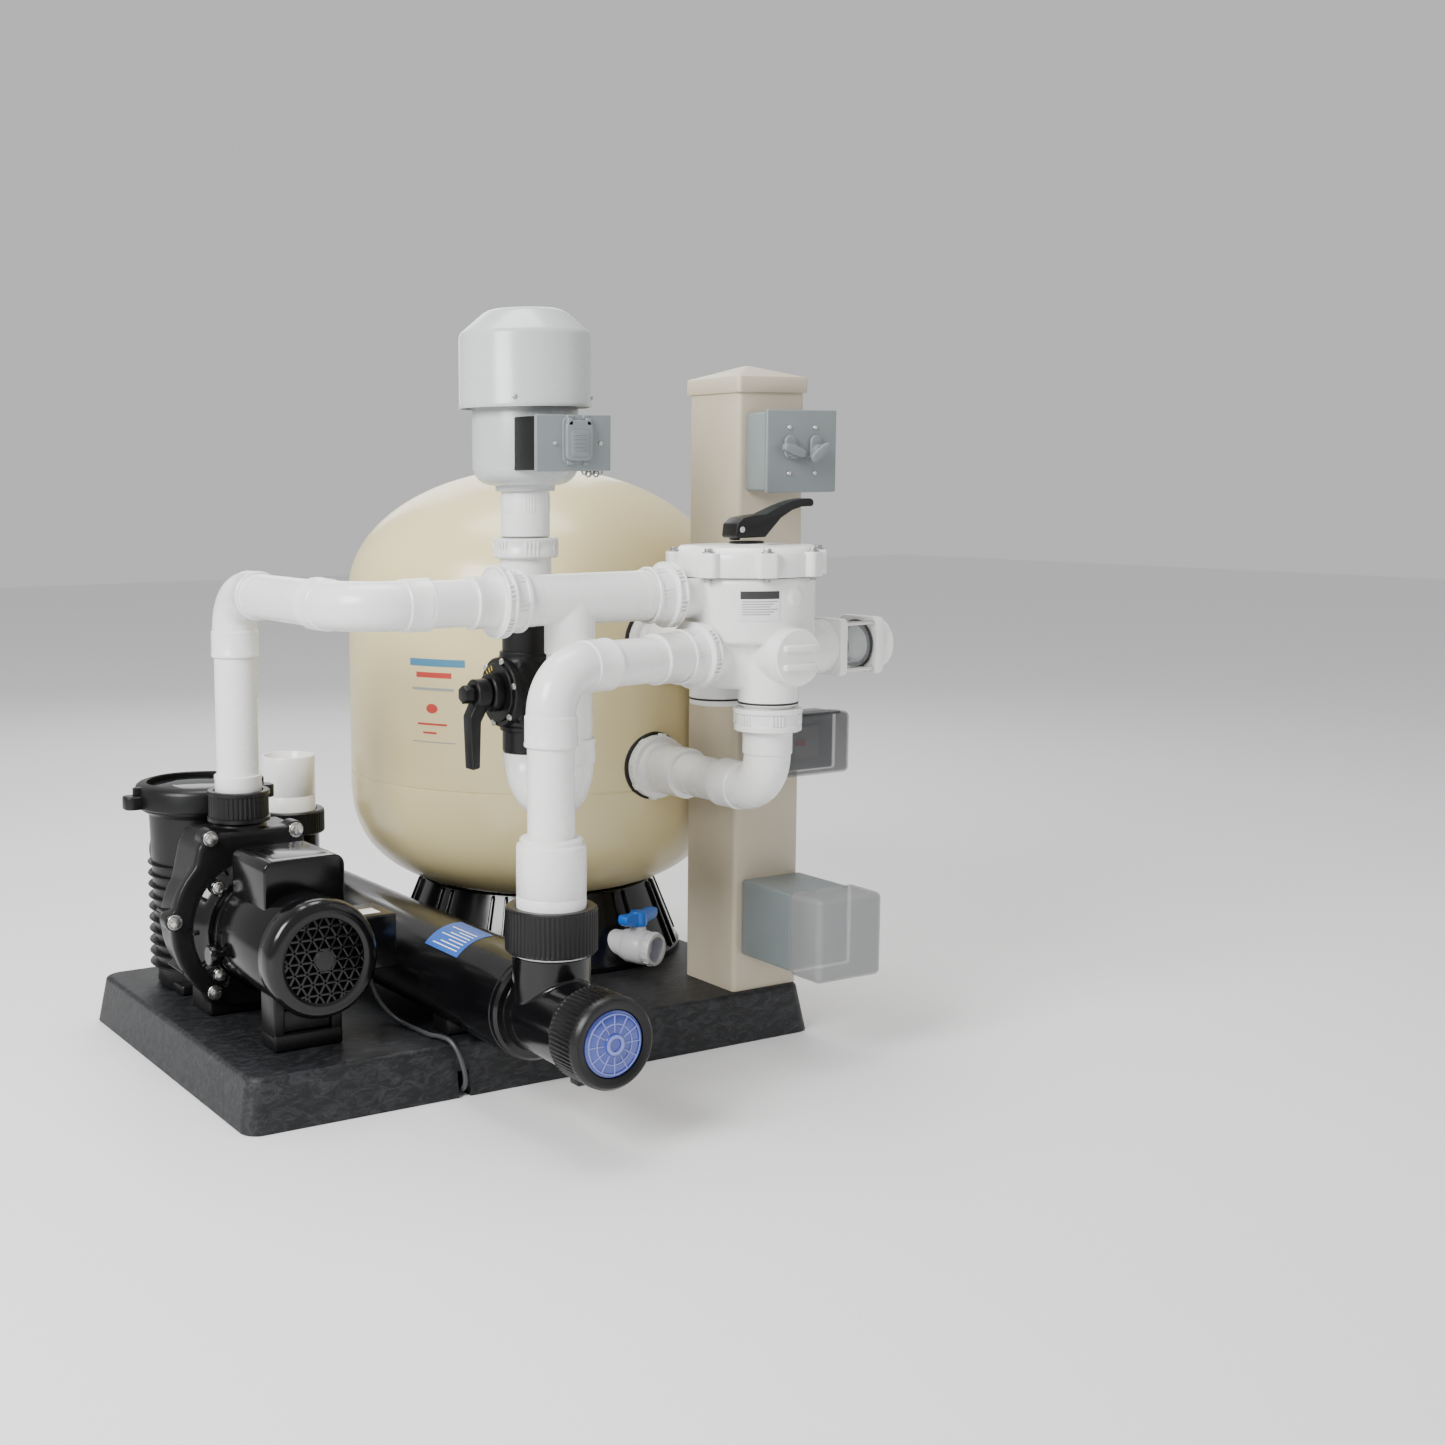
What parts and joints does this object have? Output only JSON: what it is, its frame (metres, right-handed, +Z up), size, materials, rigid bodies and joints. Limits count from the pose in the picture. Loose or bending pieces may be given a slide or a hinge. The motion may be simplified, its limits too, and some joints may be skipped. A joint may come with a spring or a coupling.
{
  "type": "pressurized pond filter",
  "caption": "Pond filter station: pump, round filter tank with multiport valve, UV clarifier and air blower, piped in white pipe on a dark pad with a switch post.",
  "frame": {"origin": "centre of the pad's underside", "axes": "+X right along the front edge of the pad, +Y to the back, +Z up"},
  "size_m": [0.997, 1.034, 1.048],
  "materials": {
    "pad": "fibrous moulded dark grey",
    "post": "semi-gloss beige vinyl",
    "tank": "satin beige",
    "black_plastic": "satin black",
    "motor_paint": "gloss black paint",
    "pvc": "semi-gloss white",
    "valve_plastic": "semi-gloss white",
    "blower_plastic": "semi-gloss pale grey",
    "box_paint": "satin grey paint",
    "smoke_cover": "smoked clear plastic",
    "clear_plastic": "clear plastic",
    "lens": "translucent blue",
    "blue_plastic": "semi-gloss blue",
    "quartz": "clear",
    "steel": "satin",
    "cord": "satin grey"
  },
  "bodies": {
    "frame": {"base_pad": "pad", "post": "post", "post_cap": "post", "tank_shell": "tank", "tank_skirt": "black_plastic", "upper_bulkhead": "pvc", "lower_bulkhead": "pvc", "upper_diffuser": "pvc", "lower_laterals": "pvc", "drain_body": "pvc", "strainer_pot": "black_plastic", "strainer_basket": "pvc", "volute": "black_plastic", "seal_plate": "black_plastic", "motor_shell": "motor_paint", "fan_cover": "motor_paint", "capacitor_cover": "motor_paint", "junction_box": "motor_paint", "discharge_nut": "black_plastic", "discharge_line": "pvc", "manifold_union_nut": "pvc", "air_tee": "pvc", "valve_union_nut": "pvc", "valve_body": "valve_plastic", "valve_lid": "valve_plastic", "waste_plug": "valve_plastic", "return_union_nut": "pvc", "return_line": "pvc", "uv_port_nut": "black_plastic", "uv_barrel": "black_plastic", "uv_lamp": "quartz", "uv_end_nut": "black_plastic", "uv_lens": "lens", "uv_rear_coupling": "pvc", "tank_union_nut": "pvc", "tank_elbow": "pvc", "sight_glass": "clear_plastic", "blower_cap": "blower_plastic", "blower_housing": "blower_plastic", "blower_wiring_box": "box_paint", "air_pipe": "pvc", "air_valve_body": "black_plastic", "air_u_bend": "pvc", "switch_box": "box_paint", "outlet_box": "box_paint", "timer_box": "box_paint", "motor_cord": "cord"},
    "pump_rotor": {"pump_rotor": "steel"},
    "pump_lid": {"strainer_lid": "smoke_cover"},
    "lid_ring": {"lid_ring": "black_plastic"},
    "valve_rotor": {"valve_rotor": "valve_plastic"},
    "valve_handle": {"valve_handle": "black_plastic"},
    "air_lever": {"air_valve_lever": "black_plastic"},
    "drain_handle": {"drain_handle": "blue_plastic"},
    "blower_rotor": {"blower_rotor": "steel"},
    "blower_lid": {"blower_flip_lid": "box_paint"},
    "toggle_left": {"toggle_left": "box_paint"},
    "toggle_right": {"toggle_right": "box_paint"},
    "outlet_cover": {"outlet_cover": "smoke_cover"},
    "timer_cover": {"timer_cover": "smoke_cover"}
  },
  "joints": [
    {"name": "pump_spin", "type": "hinge", "parent": "frame", "child": "pump_rotor", "pos_m": [-0.326, 0, 0.205], "axis": [0, 1, 0], "continuous": true},
    {"name": "pump_lid_lift", "type": "slide", "parent": "frame", "child": "pump_lid", "axis": [0, 0, 1], "range_m": [0, 0.12]},
    {"name": "lid_ring_turn", "type": "hinge", "parent": "pump_lid", "child": "lid_ring", "pos_m": [-0.326, 0.172, 0.36], "axis": [0, 0, 1], "range_deg": [0, 35]},
    {"name": "valve_turn", "type": "hinge", "parent": "frame", "child": "valve_rotor", "pos_m": [0.261, -0.385, 0.74], "axis": [0, 0, 1], "continuous": true},
    {"name": "valve_handle_press", "type": "hinge", "parent": "valve_rotor", "child": "valve_handle", "pos_m": [0.241, -0.385, 0.7545], "axis": [0, 1, 0], "range_deg": [0, 6], "stiffness_Nm_per_rad": 6, "springref_deg": -8.59},
    {"name": "air_valve_turn", "type": "hinge", "parent": "frame", "child": "air_lever", "pos_m": [-0.018, -0.265, 0.54], "axis": [1, 0, 0], "range_deg": [-90, 0]},
    {"name": "drain_turn", "type": "hinge", "parent": "frame", "child": "drain_handle", "pos_m": [0.27023, -0.11837, 0.112], "axis": [0, 0, 1], "range_deg": [0, 90]},
    {"name": "blower_spin", "type": "hinge", "parent": "frame", "child": "blower_rotor", "pos_m": [-0.018, -0.265, 0.9], "axis": [0, 0, 1], "continuous": true},
    {"name": "blower_lid_flip", "type": "hinge", "parent": "frame", "child": "blower_lid", "pos_m": [-0.006, -0.3743, 0.9031], "axis": [-1, 0, 0], "range_deg": [0, 90]},
    {"name": "toggle_left_turn", "type": "hinge", "parent": "frame", "child": "toggle_left", "pos_m": [0.372, -0.337, 0.86], "axis": [0, 1, 0], "range_deg": [-53, 0]},
    {"name": "toggle_right_turn", "type": "hinge", "parent": "frame", "child": "toggle_right", "pos_m": [0.418, -0.337, 0.86], "axis": [0, 1, 0], "range_deg": [0, 53]},
    {"name": "outlet_cover_flip", "type": "hinge", "parent": "frame", "child": "outlet_cover", "pos_m": [0.4065, -0.3253, 0.4881], "axis": [-1, 0, 0], "range_deg": [0, 95]},
    {"name": "timer_cover_flip", "type": "hinge", "parent": "frame", "child": "timer_cover", "pos_m": [0.3915, -0.3953, 0.2441], "axis": [-1, 0, 0], "range_deg": [0, 95]}
  ]
}
